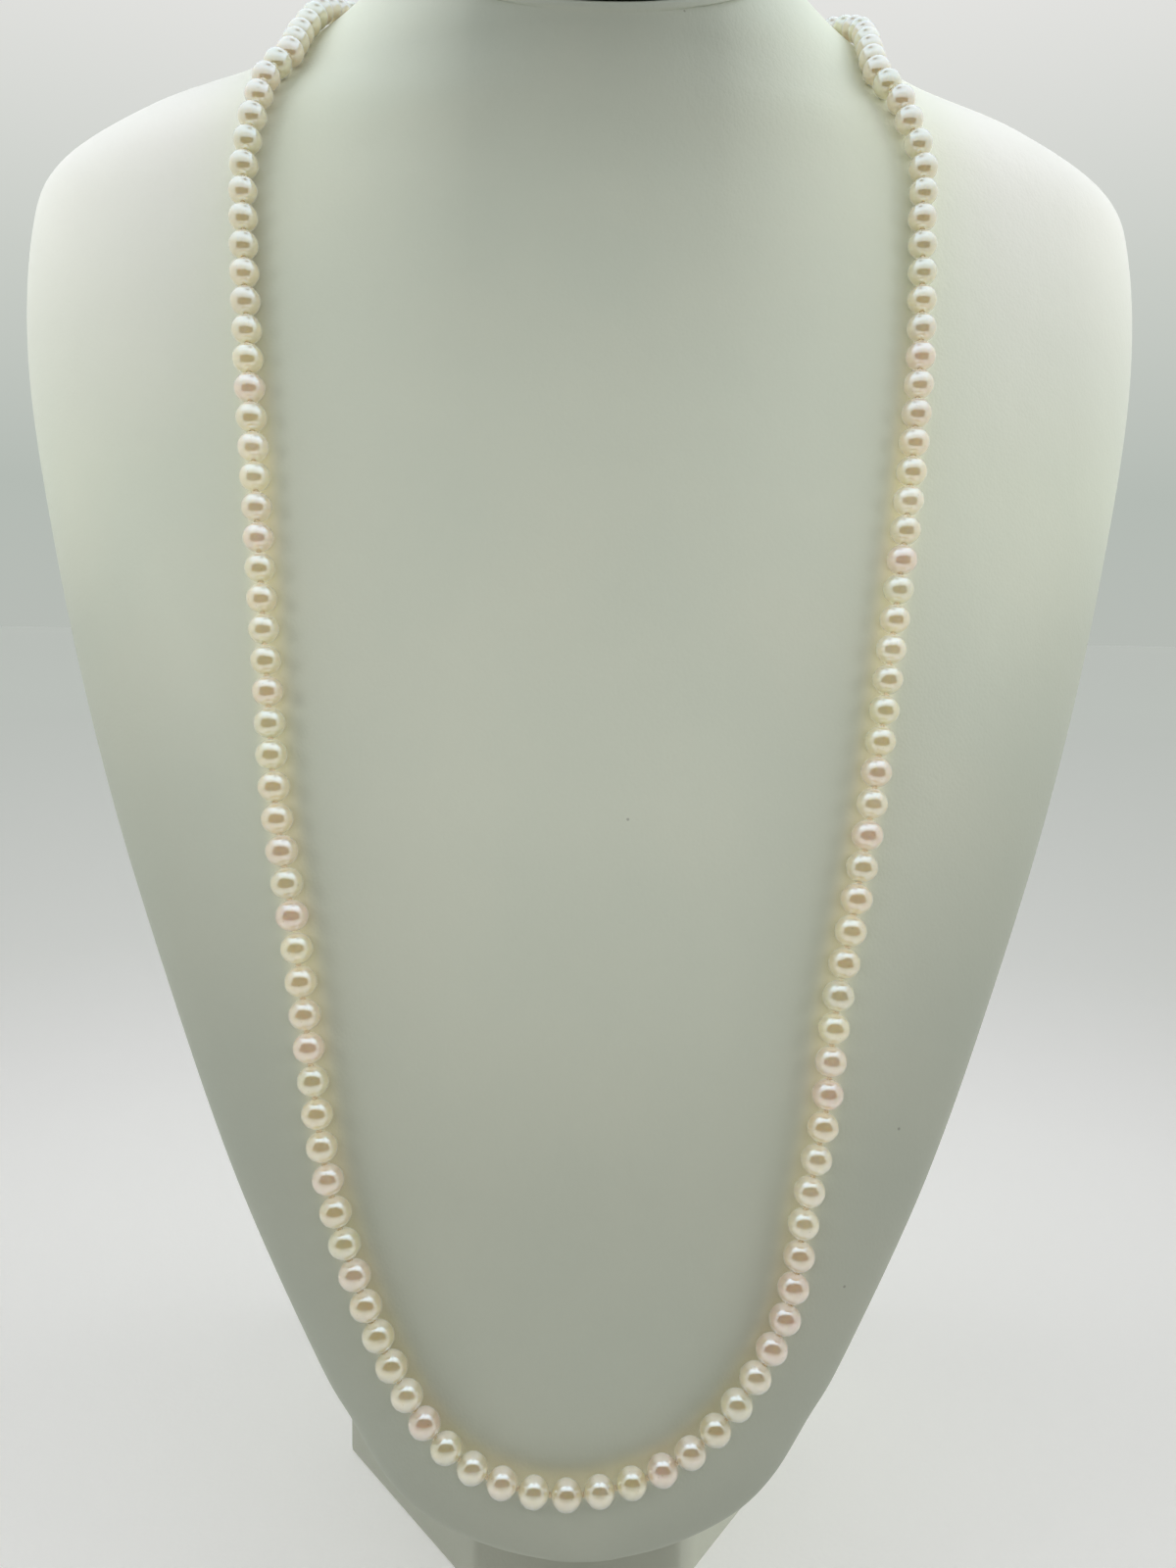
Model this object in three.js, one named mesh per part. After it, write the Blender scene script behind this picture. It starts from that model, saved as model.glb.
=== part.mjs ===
// A long string of pearls on its leatherette display bust.
//
// The bust is one full form, from the pointed apron at the bottom, over the shoulders, to a
// slanted neck. It stands on a plinth with bevelled front corners, and a padded cap closes the
// neck. The string is one closed loop: pearls of one size, threaded a pearl's length apart, lie
// on the form all the way round the neck, and a plain clasp closes it at the nape.
// Millimetres, +Z up, the wearer's front towards -Y, the floor at Z = 0.

import * as THREE from 'three';

// ---- driving dimensions ----------------------------------------------------------------

const PEARL_ACROSS = 6.6;        // diameter square to the thread
const PEARL_ALONG = 6.25;        // length along the thread: the pearls are a little flat
const PEARL_PITCH = 6.66;        // wanted distance from pearl to pearl, the knot included
const PEARL_SPREAD = 0.018;      // how far a single pearl's size strays from the mean
const PEARL_BORE = 1.3;
const PEARL_SIDES = 8;
const THREAD = 0.6;
const SEAT_GAP = 0.15;           // between a pearl and the form it lies on
const PIECE_GAP = 0.3;           // between neighbouring pieces
const LOOSE_PEARLS = 40;         // pearls that are pieces of their own, at the front
const RUNS_PER_SIDE = 4;         // joined runs up each side and round the neck
const CLASP_LENGTH = 9;
const CLASP_ROOM = CLASP_LENGTH + PIECE_GAP;
const CLASP_ACROSS = 4.6;
const CLASP_SHIFT = 1.5;         // how far the clasp sits off the middle of the nape
const APRON_BACK = -56;          // the apron's flat back, in front of the plinth
const APRON_SQUARE = 6;
const APRON_TOP = 5;             // the level where the full form starts behind the apron
const UNDERSIDE_STEP = 0.3;      // half the height of the band between apron and full form
const RIM_ROUND = 1.6;           // rounding of the neck's upper edge
const CAP_INSET = 3.2;           // from the neck's edge to the cap's
const CAP_THICK = 2.4;
const AROUND = 44;               // points round a section of the form
const LEVELS_BETWEEN = 2;        // sections of the form for each row of its table
const PLINTH = { height: 61.4, front: -55, corner: -6, back: 66, frontHalf: 23, half: 57.7 };

const LEATHERETTE = new THREE.MeshStandardMaterial({ color: 0xbfc3b6, roughness: 0.55 });
const NACRE = new THREE.MeshStandardMaterial({ color: 0xf1e6da, roughness: 0.16 });
const SILK = new THREE.MeshStandardMaterial({ color: 0xe9d9b4, roughness: 0.7 });
const SILVER = new THREE.MeshStandardMaterial({ color: 0xd2d0cb, roughness: 0.25, metalness: 1 });

// The form, section by section from the tip of the apron to the edge of the neck. Each section
// is widest at its sides, reaches forward to its front and back to its back, and may slope, so
// each of the three has a height of its own. squareness 2 makes the back half an ellipse, and
// more makes it boxier. throat is how far the round of the throat stands out in the middle of the
// front. Below the full form the back comes from the apron's own constants.
const COLUMNS = [
  'halfWidth', 'sideY', 'sideZ', 'frontY', 'frontZ', 'backY', 'backZ', 'squareness', 'throat',
];
const THROAT_HALF = 38;          // from the middle to where the throat's round has nearly faded
const FORM = [
  [8, -75, 24.7, -76.3, 24.6, 53, 24.7, 2.7, 0],
  [21, -72, 26.6, -76.2, 26.2, 53, 26.6, 2.7, 0],
  [33, -69.5, 31.2, -76, 30.8, 53, 31.2, 2.7, 0],
  [41, -68, 38.5, -75.8, 38.3, 53, 38.5, 2.7, 0],
  [48.3, -66, 50, -75.4, 50, 53, 50, 2.7, 0],
  [56, -63, 62, -74.8, 62, 54, 62, 2.7, 0],
  [73.6, -57, 99, -72.2, 99, 57, 99, 2.6, 0],
  [91, -43, 138, -68, 138, 62, 138, 2.5, 0],
  [109.5, -22, 179, -60, 179, 68, 179, 2.4, 0],
  [127, 2, 225, -48, 225, 74, 225, 2.3, 0],
  [141, 24, 275, -35.5, 275, 79.5, 275, 2.2, 0.3],
  [142.5, 32, 312, -26, 306, 82, 312, 2.2, 1.8],
  [135, 32, 331, -20, 320.5, 81.5, 332, 2.2, 4.4],
  [111, 32, 347, -17, 331, 80, 351, 2.2, 5.7],
  [83, 32, 358, -15, 338, 77.5, 368, 2.2, 6.4],
  [66, 31, 368, -14.5, 343, 75, 386, 2.1, 6.2],
  [54, 30, 378, -17.2, 346.5, 73.2, 402, 2, 3.3],
  [46.5, 29, 385.3, -20.5, 349, 72, 417, 2, 0],
];

// The string's way over the form: how far round it has turned, in degrees from the middle of
// the front, and its height there. It starts and ends at the nape.
const ROUTE = [
  [-180, 380], [-150, 379.5], [-122, 377], [-100, 371.5], [-84, 364], [-70, 355], [-54, 344.5],
  [-42, 334.5], [-35, 323], [-32.7, 307], [-31.8, 282], [-32, 256], [-32.8, 230], [-34, 204],
  [-35.8, 178], [-37.2, 152], [-39.8, 127], [-42.4, 106], [-43.1, 90], [-42.2, 75], [-39.4, 61],
  [-33.5, 50], [-20, 43.4], [-3, 41.5], [14, 44.2], [27, 50], [35, 60.5], [39.2, 73], [39, 84],
  [36.8, 98], [35.4, 118], [33, 138], [32.2, 160], [31.5, 185], [30.8, 212], [30.5, 240],
  [30.2, 270], [30.2, 294], [31.2, 313], [35, 328], [43, 338.5], [55, 347.5], [70, 357],
  [84, 364.5], [100, 371.5], [122, 377], [150, 379.5], [180, 380],
];

// ---- the form ----------------------------------------------------------------------------

// A smooth line through rows of numbers: position 0 is the first row, 1 the second, and so on.
function through(rows, position) {
  const last = rows.length - 1;
  const row = Math.min(Math.max(Math.floor(position), 0), last - 1);
  const t = position - row;
  const [a, b, c, d] = [row - 1, row, row + 1, row + 2]
    .map((index) => rows[Math.min(Math.max(index, 0), last)]);
  return b.map((_, k) => 0.5 * (2 * b[k] + (c[k] - a[k]) * t
    + (2 * a[k] - 5 * b[k] + 4 * c[k] - d[k]) * t ** 2
    + (3 * b[k] - a[k] - 3 * c[k] + d[k]) * t ** 3));
}

// A point of the form's skin: turn in radians from the middle of the front, level as a row of
// FORM, counted from the apron's tip.
function formPoint(turn, level, apron = false) {
  const values = through(FORM, level);
  const section = Object.fromEntries(COLUMNS.map((name, k) => [name, values[k]]));
  if (apron) {
    Object.assign(section, { backY: APRON_BACK, backZ: section.sideZ, squareness: APRON_SQUARE });
  }
  const sideways = Math.sin(turn);
  const forward = Math.cos(turn);
  if (forward >= 0) {
    const x = section.halfWidth * sideways;
    const throat = section.throat * Math.exp(-((x / THROAT_HALF) ** 2));
    return new THREE.Vector3(
      x,
      section.sideY + (section.frontY - throat - section.sideY) * forward,
      section.sideZ + (section.frontZ - section.sideZ) * forward,
    );
  }
  const power = 2 / section.squareness;
  const reach = Math.abs(forward) ** power;
  return new THREE.Vector3(
    section.halfWidth * Math.sign(sideways) * Math.abs(sideways) ** power,
    section.sideY + (section.backY - section.sideY) * reach,
    section.sideZ + (section.backZ - section.sideZ) * reach,
  );
}

function formNormal(turn, level) {
  const step = 0.002;
  const round = formPoint(turn + step, level).sub(formPoint(turn - step, level));
  const up = formPoint(turn, level + step).sub(formPoint(turn, level - step));
  return round.cross(up).normalize();
}

function levelAt(turn, height) {
  let low = 0;
  let high = FORM.length - 1;
  while (high - low > 1e-6) {
    const middle = (low + high) / 2;
    if (formPoint(turn, middle).z < height) low = middle;
    else high = middle;
  }
  return (low + high) / 2;
}

// Rings of points, each with the same count and order, joined into one closed skin.
function skin(rings) {
  const count = rings[0].length;
  const middles = [rings[0], rings.at(-1)]
    .map((ring) => ring.reduce((sum, p) => sum.add(p), new THREE.Vector3()).divideScalar(count));
  const points = [...rings.flat(), ...middles];
  const index = [];
  for (let r = 0; r + 1 < rings.length; r += 1) {
    for (let k = 0; k < count; k += 1) {
      const here = r * count + k;
      const beside = r * count + (k + 1) % count;
      index.push(here, beside, beside + count, here, beside + count, here + count);
    }
  }
  const top = (rings.length - 1) * count;
  for (let k = 0; k < count; k += 1) {
    const beside = (k + 1) % count;
    index.push(points.length - 2, beside, k, points.length - 1, top + k, top + beside);
  }
  const geometry = new THREE.BufferGeometry().setFromPoints(points);
  geometry.setIndex(index);
  return geometry;
}

function formRing(level, apron = false) {
  return Array.from({ length: AROUND }, (_, k) => formPoint((2 * Math.PI * k) / AROUND, level, apron));
}

// The plane of the neck's slanted edge, its middle and half sizes.
const topLevel = FORM.length - 1;
const neckFront = formPoint(0, topLevel);
const neckBack = formPoint(Math.PI, topLevel);
const neckMiddle = neckFront.clone().add(neckBack).divideScalar(2);
const neckHalfLength = neckFront.distanceTo(neckBack) / 2;
const neckHalfWidth = FORM[topLevel][0];
const neckTilt = Math.atan2(neckBack.z - neckFront.z, neckBack.y - neckFront.y);
const neckUp = new THREE.Vector3(0, -Math.sin(neckTilt), Math.cos(neckTilt));

function bustForm() {
  const rings = [];
  for (let k = 0; k < APRON_TOP * LEVELS_BETWEEN; k += 1) {
    rings.push(formRing(k / LEVELS_BETWEEN, true));
  }
  const drop = new THREE.Vector3(0, 0, -UNDERSIDE_STEP);
  rings.push(formRing(APRON_TOP, true).map((point) => point.add(drop)));
  rings.push(formRing(APRON_TOP).map((point) => point.sub(drop)));
  for (let k = APRON_TOP * LEVELS_BETWEEN + 1; k <= topLevel * LEVELS_BETWEEN; k += 1) {
    rings.push(formRing(k / LEVELS_BETWEEN));
  }
  const shrink = 1 - RIM_ROUND / neckHalfWidth;
  rings.push(formRing(topLevel).map((point) => point.sub(neckMiddle).multiplyScalar(shrink)
    .add(neckMiddle).addScaledVector(neckUp, RIM_ROUND)));
  return new THREE.Mesh(skin(rings), LEATHERETTE);
}

function neckCap() {
  const edge = CAP_THICK / 2;
  const profile = [
    [0, 0], [1 - edge / neckHalfWidth, 0], [1, edge * 0.5], [1, edge],
    [1 - edge / neckHalfWidth, CAP_THICK], [0, CAP_THICK],
  ].map(([radius, height]) => new THREE.Vector2(radius, height));
  const geometry = new THREE.LatheGeometry(profile, AROUND);
  geometry.scale(neckHalfWidth - CAP_INSET, 1, neckHalfLength - CAP_INSET);
  const cap = new THREE.Mesh(geometry, LEATHERETTE);
  cap.rotation.x = Math.PI / 2 + neckTilt;
  cap.position.copy(neckMiddle).addScaledVector(neckUp, RIM_ROUND + PIECE_GAP);
  return cap;
}

function plinth() {
  const { height, front, corner, back, frontHalf, half } = PLINTH;
  const outline = new THREE.Shape([
    [-frontHalf, front], [frontHalf, front], [half, corner], [half, back], [-half, back], [-half, corner],
  ].map(([x, y]) => new THREE.Vector2(x, y)));
  const geometry = new THREE.ExtrudeGeometry(outline, { depth: height, bevelEnabled: false });
  return new THREE.Mesh(geometry, LEATHERETTE);
}

// ---- the string --------------------------------------------------------------------------

// The line of the pearls' centres, walked in small steps: place and form normal at each.
const LIFT = PEARL_ACROSS / 2 + SEAT_GAP;
const WALK_STEPS = 60;
const walk = [];
for (let k = 0; k <= (ROUTE.length - 1) * WALK_STEPS; k += 1) {
  const [degrees, height] = through(ROUTE, k / WALK_STEPS);
  const turn = THREE.MathUtils.degToRad(degrees);
  const level = levelAt(turn, height);
  const normal = formNormal(turn, level);
  const place = formPoint(turn, level).addScaledVector(normal, LIFT);
  const length = k === 0 ? 0 : walk.at(-1).length + place.distanceTo(walk.at(-1).place);
  walk.push({ place, normal, length });
}
const loopLength = walk.at(-1).length;

// The place, direction and form normal after a length along the loop, from the nape leftwards.
function alongLoop(length) {
  const wrapped = ((length % loopLength) + loopLength) % loopLength;
  const next = Math.max(1, walk.findIndex((step) => step.length >= wrapped));
  const [a, b] = [walk[next - 1], walk[next]];
  const t = (wrapped - a.length) / (b.length - a.length);
  return {
    place: a.place.clone().lerp(b.place, t),
    direction: b.place.clone().sub(a.place).normalize(),
    normal: a.normal.clone().lerp(b.normal, t).normalize(),
  };
}

const pearlCount = Math.round((loopLength - CLASP_ROOM) / PEARL_PITCH);
const pitch = (loopLength - CLASP_ROOM) / pearlCount;
const firstPearl = CLASP_SHIFT + CLASP_ROOM / 2 + pitch / 2;
const pearlSize = (index) => 1 + PEARL_SPREAD * Math.sin(12.9898 * (index + 1));

// A ring of points square to the loop.
function threadRing(length, radius) {
  const { place, direction, normal } = alongLoop(length);
  const across = direction.clone().cross(normal).normalize();
  const outward = direction.clone().cross(across);
  return Array.from({ length: PEARL_SIDES }, (_, k) => {
    const angle = (2 * Math.PI * (k + 0.5)) / PEARL_SIDES;
    return place.clone()
      .addScaledVector(across, radius * Math.cos(angle))
      .addScaledVector(outward, radius * Math.sin(angle));
  });
}

const LATITUDES = [-64, -22, 22, 64].map(THREE.MathUtils.degToRad);

function joinedRun(first, last) {
  const rings = [];
  for (let index = first; index <= last; index += 1) {
    const middle = firstPearl + index * pitch;
    const size = pearlSize(index);
    const neck = pitch / 2 - (index === first ? PIECE_GAP / 2 : 0);
    rings.push(threadRing(middle - neck, THREAD / 2));
    LATITUDES.forEach((latitude) => rings.push(threadRing(
      middle + size * (PEARL_ALONG / 2) * Math.sin(latitude),
      size * (PEARL_ACROSS / 2) * Math.cos(latitude),
    )));
  }
  rings.push(threadRing(firstPearl + last * pitch + pitch / 2 - PIECE_GAP / 2, THREAD / 2));
  return new THREE.Mesh(skin(rings), NACRE);
}

// One drilled pearl, turned about its own thread hole.
function loosePearl(index) {
  const size = pearlSize(index);
  const bore = PEARL_BORE / 2;
  const mouth = size * (PEARL_ALONG / 2) * Math.sqrt(1 - (PEARL_BORE / PEARL_ACROSS) ** 2);
  const profile = [
    [bore, -mouth],
    ...LATITUDES.map((latitude) => [
      size * (PEARL_ACROSS / 2) * Math.cos(latitude),
      size * (PEARL_ALONG / 2) * Math.sin(latitude),
    ]),
    [bore, mouth],
    [bore, -mouth],
  ].map(([radius, height]) => new THREE.Vector2(radius, height));
  const pearl = new THREE.Mesh(new THREE.LatheGeometry(profile, PEARL_SIDES), NACRE);
  const { place, direction } = alongLoop(firstPearl + index * pitch);
  pearl.position.copy(place);
  pearl.quaternion.setFromUnitVectors(new THREE.Vector3(0, 1, 0), direction);
  return pearl;
}

// The thread through the loose pearls, with a point at each pearl and each knot.
function frontThread(first, last) {
  const start = firstPearl + (first - 0.5) * pitch + PIECE_GAP / 2;
  const end = firstPearl + (last + 0.5) * pitch - PIECE_GAP / 2;
  const steps = 2 * (last - first + 1);
  const step = (end - start) / steps;
  const stops = Array.from({ length: steps + 1 }, (_, k) => alongLoop(start + step * k).place);
  const extrudePath = new THREE.CatmullRomCurve3(stops);
  const round = new THREE.Shape(Array.from({ length: 6 }, (_, k) => new THREE.Vector2(
    (THREAD / 2) * Math.cos((Math.PI * k) / 3),
    (THREAD / 2) * Math.sin((Math.PI * k) / 3),
  )));
  const geometry = new THREE.ExtrudeGeometry(round, { steps, extrudePath });
  return new THREE.Mesh(geometry, SILK);
}

// A closed barrel with a rounded end on each side, one plain piece.
function clasp() {
  const radius = CLASP_ACROSS / 2;
  const half = CLASP_LENGTH / 2;
  const profile = [
    [0, -half], [radius * 0.35, -half], [radius * 0.4, -half * 0.78], [radius * 0.8, -half * 0.66],
    [radius, -half * 0.3], [radius, half * 0.3], [radius * 0.8, half * 0.66],
    [radius * 0.4, half * 0.78], [radius * 0.35, half], [0, half],
  ].map(([x, y]) => new THREE.Vector2(x, y));
  const barrel = new THREE.Mesh(new THREE.LatheGeometry(profile, 12), SILVER);
  const { place, direction } = alongLoop(CLASP_SHIFT);
  barrel.position.copy(place);
  barrel.quaternion.setFromUnitVectors(new THREE.Vector3(0, 1, 0), direction);
  return barrel;
}

// ---- the assembly ------------------------------------------------------------------------

const group = new THREE.Group();
function add(name, mesh) {
  mesh.name = name;
  group.add(mesh);
}

add('bust_form', bustForm());
add('neck_cap', neckCap());
add('plinth', plinth());

// The loose pearls lie evenly about the lowest point of the loop.
const lowest = walk.reduce((best, step) => (step.place.z < best.place.z ? step : best));
const firstLoose = Math.round((lowest.length - firstPearl) / pitch - LOOSE_PEARLS / 2);
const lastLoose = firstLoose + LOOSE_PEARLS - 1;
for (let index = firstLoose; index <= lastLoose; index += 1) {
  add(`pearl_${String(index - firstLoose + 1).padStart(2, '0')}`, loosePearl(index));
}
add('front_thread', frontThread(firstLoose, lastLoose));

// The rest of the pearls are joined along their thread, a few even runs on each side.
function addRuns(side, from, count) {
  for (let run = 0; run < RUNS_PER_SIDE; run += 1) {
    const first = from + Math.round((count * run) / RUNS_PER_SIDE);
    const last = from + Math.round((count * (run + 1)) / RUNS_PER_SIDE) - 1;
    add(`${side}_run_${run + 1}`, joinedRun(first, last));
  }
}
addRuns('left', 0, firstLoose);
addRuns('right', lastLoose + 1, pearlCount - 1 - lastLoose);
add('clasp', clasp());

export default group;
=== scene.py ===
# %% [markdown]
# # A long string of pearls on its display bust
# A jeweller's bust is a stiff form, wide at the shoulders and pointed at the bottom, covered with
# white leatherette and set on a plinth. One long knotted string of pearls hangs on it. The
# measured model gives every piece its size and place, and this lesson puts a finished surface on
# each piece without moving it. Everything is in metres, +Z up, the wearer's front towards -Y.

# %% Load the measured model
import math

import bpy
import numpy as np
from mathutils import Matrix, Vector


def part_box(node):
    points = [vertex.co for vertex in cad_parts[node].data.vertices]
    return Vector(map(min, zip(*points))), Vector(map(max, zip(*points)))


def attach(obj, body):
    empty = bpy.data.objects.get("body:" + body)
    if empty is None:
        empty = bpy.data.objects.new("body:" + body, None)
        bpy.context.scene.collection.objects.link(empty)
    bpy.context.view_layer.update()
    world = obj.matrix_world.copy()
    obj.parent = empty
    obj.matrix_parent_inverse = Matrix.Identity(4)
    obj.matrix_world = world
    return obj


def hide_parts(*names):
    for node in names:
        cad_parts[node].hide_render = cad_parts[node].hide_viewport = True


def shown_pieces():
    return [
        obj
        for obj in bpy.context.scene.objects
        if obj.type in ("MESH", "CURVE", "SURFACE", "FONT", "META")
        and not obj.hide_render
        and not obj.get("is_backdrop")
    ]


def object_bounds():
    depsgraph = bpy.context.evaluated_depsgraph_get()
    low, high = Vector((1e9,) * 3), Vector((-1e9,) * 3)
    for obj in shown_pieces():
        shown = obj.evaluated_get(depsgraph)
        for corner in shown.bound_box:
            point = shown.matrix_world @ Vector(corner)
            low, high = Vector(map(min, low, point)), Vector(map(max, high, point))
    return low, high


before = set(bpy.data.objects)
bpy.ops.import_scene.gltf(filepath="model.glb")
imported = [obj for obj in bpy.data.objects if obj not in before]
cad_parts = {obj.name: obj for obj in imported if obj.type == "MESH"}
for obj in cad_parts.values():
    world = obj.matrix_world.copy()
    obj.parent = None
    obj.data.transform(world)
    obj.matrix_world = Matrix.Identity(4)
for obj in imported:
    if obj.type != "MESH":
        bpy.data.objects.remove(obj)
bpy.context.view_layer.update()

MM = 0.001

# %% [markdown]
# ## The camera
# The camera stands close to the bust, a little above its middle, and looks slightly down, so that
# the neck and the tip of the apron nearly fill the height of the picture. A camera can be aimed
# with a constraint, but three unit vectors make its place and its small tilts exact.

# %% Place the camera
CAMERA_PLACE = Vector((0.0, -0.313, 0.215))
CAMERA_PAN, CAMERA_DOWN, CAMERA_ROLL = (math.radians(a) for a in (0.25, 7.0, 1.0))
WHOLE_TURN = math.radians(-1.8)

ahead = Vector((math.sin(CAMERA_PAN) * math.cos(CAMERA_DOWN),
                math.cos(CAMERA_PAN) * math.cos(CAMERA_DOWN), -math.sin(CAMERA_DOWN)))
level_right = Vector((math.cos(CAMERA_PAN), -math.sin(CAMERA_PAN), 0.0))
level_up = level_right.cross(ahead)
right = level_right * math.cos(CAMERA_ROLL) + level_up * math.sin(CAMERA_ROLL)
up = level_up * math.cos(CAMERA_ROLL) - level_right * math.sin(CAMERA_ROLL)

camera = bpy.data.objects.new("camera", bpy.data.cameras.new("camera"))
bpy.context.scene.collection.objects.link(camera)
camera.data.lens, camera.data.sensor_width = 28.8, 36.0
camera.data.clip_start, camera.data.clip_end = 0.01, 20.0
aim = Matrix((right, up, -ahead)).transposed().to_4x4()
camera.matrix_world = Matrix.Rotation(WHOLE_TURN, 4, "Z") @ Matrix.Translation(CAMERA_PLACE) @ aim
bpy.context.scene.camera = camera
print("camera at", [round(v, 3) for v in camera.matrix_world.translation])

# %% [markdown]
# ## Writing materials as sums
# A material is a small tree of nodes. Placing them one by one hides what they work out, so one
# class wraps a socket and lets plain Python expressions build the tree: `1 - mask` adds a node.
# Numbers go through Math nodes, vectors through Vector Math, and colours through Mix, because a
# Math node would turn a colour grey. Every other node comes from one method that sets the node's
# own settings first and then fills its inputs.

# %% The class for node sums
class Wire:
    """An output of a node, which can be added, multiplied and compared."""

    def __init__(self, finish, socket):
        self.finish, self.socket = finish, socket

    def sum(self, operation, first, second):
        """A Vector Math node if either side is a vector, or else a Math node."""
        both = [v.socket.type if isinstance(v, Wire) else v for v in (first, second)]
        vector = any(v == "VECTOR" or isinstance(v, tuple) for v in both)
        return self.finish.node("VectorMath" if vector else "Math", {"operation": operation},
                                {0: first, 1: second})

    def __add__(self, other): return self.sum("ADD", self, other)
    def __radd__(self, other): return self.sum("ADD", other, self)
    def __sub__(self, other): return self.sum("SUBTRACT", self, other)
    def __rsub__(self, other): return self.sum("SUBTRACT", other, self)
    def __mul__(self, other): return self.sum("MULTIPLY", self, other)
    def __rmul__(self, other): return self.sum("MULTIPLY", other, self)
    def __lt__(self, other): return self.sum("LESS_THAN", self, other)

    def along(self, axis):
        """One coordinate of a vector: along X, Y or Z."""
        return self.finish.node("SeparateXYZ", {}, {0: self}, axis)


class Finish:
    """A node tree under construction, for a material or for the world."""

    def __init__(self, owner):
        owner.use_nodes = True
        self.owner, self.tree = owner, owner.node_tree
        self.tree.nodes.clear()

    def node(self, kind, settings, inputs, output=0):
        """Any node: its kind, its own settings, what goes into its inputs, and which output."""
        made = self.tree.nodes.new("ShaderNode" + kind)
        for name, value in settings.items():
            if name == "stops":
                stops = made.color_ramp.elements
                while len(stops) < len(value):
                    stops.new(0.5)
                for stop, (position, colour) in zip(stops, value):
                    stop.position, stop.color = position, (*colour, 1.0)
            else:
                setattr(made, name, value)
        for key, value in inputs.items():
            if isinstance(value, Wire):
                self.tree.links.new(value.socket, made.inputs[key])
            elif made.inputs[key].type == "RGBA":
                made.inputs[key].default_value = (*value, 1.0)
            elif made.inputs[key].type == "VECTOR" and not isinstance(value, tuple):
                made.inputs[key].default_value = (value,) * 3
            else:
                made.inputs[key].default_value = value
        return Wire(self, made.outputs[output]) if made.outputs else made

    def place(self):
        return self.node("TexCoord", {}, {}, "Object")

    def stored(self, name, output):
        """A value that is stored on the points of the mesh."""
        return self.node("Attribute", {"attribute_name": name}, {}, output)

    def noise(self, place, scale, detail=2.0, roughness=0.5):
        return self.node("TexNoise", {}, {"Vector": place, "Scale": scale, "Detail": detail,
                                          "Roughness": roughness})

    def cells(self, place, scale):
        """The distance to the nearest of many scattered points."""
        return self.node("TexVoronoi", {"feature": "F1"}, {"Vector": place, "Scale": scale})

    def ramp(self, value, *stops):
        """A number spread over colours, or over greys where a stop is one number."""
        rows = [(at, (v,) * 3 if isinstance(v, float) else v) for at, v in stops]
        return self.node("ValToRGB", {"stops": rows}, {"Fac": value})

    def blend(self, factor, first, second, how="MIX"):
        return self.node("Mix", {"data_type": "RGBA", "blend_type": how},
                         {0: factor, 6: first, 7: second}, 2)

    def bump(self, height, distance, strength=1.0):
        return self.node("Bump", {}, {"Height": height, "Distance": distance,
                                      "Strength": strength})

    def skin(self, **inputs):
        """The surface shader, its inputs named as in the panel, with _ for a space."""
        made = self.node("BsdfPrincipled", {}, {k.replace("_", " "): v for k, v in inputs.items()})
        self.node("OutputMaterial", {}, {"Surface": made})
        return self.owner

    def lit_card(self, colour, strength=1.0):
        """A surface that only gives off light."""
        made = self.node("Emission", {}, {"Color": colour, "Strength": strength})
        self.node("OutputMaterial", {}, {"Surface": made})
        return self.owner


def new_finish(name):
    return Finish(bpy.data.materials.new(name))


print("node sums ready")

# %% [markdown]
# ## Meshes from rings
# Every piece here can be made as a row of rings, each with the same number of points: a cover, a
# pad, a pearl, a thread. Blender's modifiers could skin such rows too, but a few small functions
# keep the order of the points known, which the stored tints and coordinates rely on.

# %% Functions for meshes
def mesh_object(name, points, faces, materials, face_materials=None, sharp=None):
    """A new object from points in metres and faces, smooth but for edges over the sharp angle."""
    mesh = bpy.data.meshes.new(name)
    mesh.from_pydata(np.asarray(points).tolist(), [], [tuple(map(int, face)) for face in faces])
    for material in materials:
        mesh.materials.append(material)
    if face_materials is not None:
        mesh.polygons.foreach_set("material_index", np.asarray(face_materials, np.int32))
    mesh.shade_smooth()
    if sharp:
        mesh.set_sharp_from_angle(angle=math.radians(sharp))
    mesh.update()
    made = bpy.data.objects.new(name, mesh)
    bpy.context.scene.collection.objects.link(made)
    return made


def ring_faces(rings, count, ends="fans"):
    """Faces between rings. The two ends get fans of faces, stay open, or join in a loop."""
    here, top = np.arange(count), (rings - 1) * count
    beside = (here + 1) % count
    step = np.arange(rings - 1)[:, None] * count
    faces = np.stack([step + here, step + beside, step + beside + count, step + here + count], -1)
    faces = faces.reshape(-1, 4).tolist()
    if ends == "loop":
        faces += np.stack([top + here, top + beside, beside, here], -1).tolist()
    if ends == "fans":
        first, last = np.full(count, rings * count), np.full(count, rings * count + 1)
        faces += np.stack([first, beside, here], -1).tolist()
        faces += np.stack([last, top + here, top + beside], -1).tolist()
    return faces


def closed_mesh(name, rings, material, sharp=None):
    """A closed skin over rings in millimetres, each end filled from the middle of its ring."""
    points = np.concatenate([*rings, rings[0].mean(0)[None], rings[-1].mean(0)[None]])
    return mesh_object(name, points * MM, ring_faces(len(rings), len(rings[0])), [material],
                       sharp=sharp)


def circle(count):
    """Turns in even steps round a whole circle."""
    return np.arange(count) * 2 * math.pi / count


print("a closed tube of 3 rings of 8 has", len(ring_faces(3, 8)), "faces")
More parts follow.
